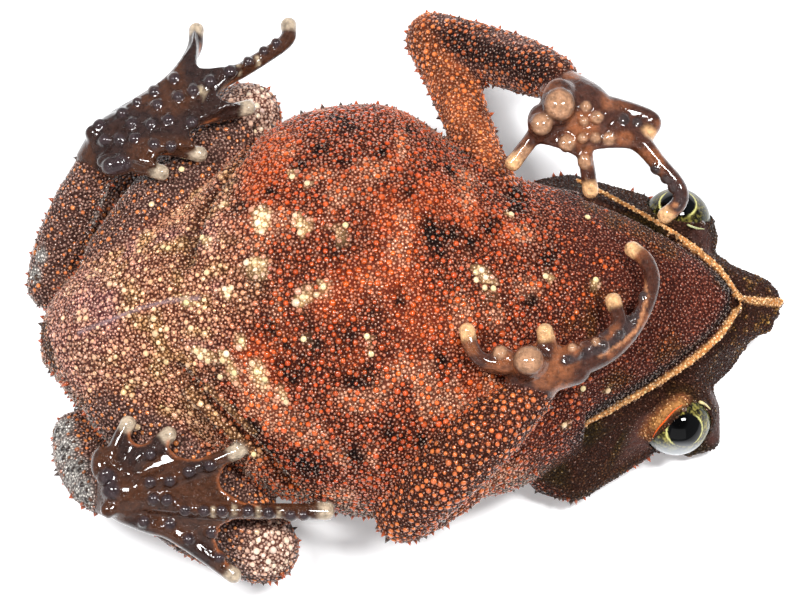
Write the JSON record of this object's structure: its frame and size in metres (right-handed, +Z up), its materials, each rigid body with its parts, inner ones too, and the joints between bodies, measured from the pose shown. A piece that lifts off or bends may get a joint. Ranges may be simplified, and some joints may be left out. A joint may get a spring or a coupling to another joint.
{
  "type": "crested forest toad model",
  "caption": "Life-size still model of a crested forest toad lying on its back, warty belly up, with folded legs and webbed feet.",
  "frame": {"origin": "middle of the bounding box at floor level, where the back rests", "axes": "+X towards the snout, +Y to the animal's right side, +Z up from the back on the floor to the belly"},
  "size_m": [0.0642, 0.0494, 0.0209],
  "materials": {
    "belly_skin": "satin",
    "head_skin": "satin",
    "throat_skin": "satin",
    "limb_skin": "satin",
    "palm_skin": "gloss",
    "eye": "gloss"
  },
  "bodies": {
    "root": {"trunk": "belly_skin", "head": "head_skin", "lower_jaw": "throat_skin", "left_eye": "eye", "right_eye": "eye", "left_upper_arm": "limb_skin", "left_forearm": "limb_skin", "left_hand": "palm_skin", "right_upper_arm": "limb_skin", "right_forearm": "limb_skin", "right_hand": "palm_skin", "left_thigh": "limb_skin", "left_shank": "limb_skin", "left_tarsus": "limb_skin", "left_foot": "palm_skin", "right_thigh": "limb_skin", "right_shank": "limb_skin", "right_tarsus": "limb_skin", "right_foot": "palm_skin"}
  },
  "joints": []
}
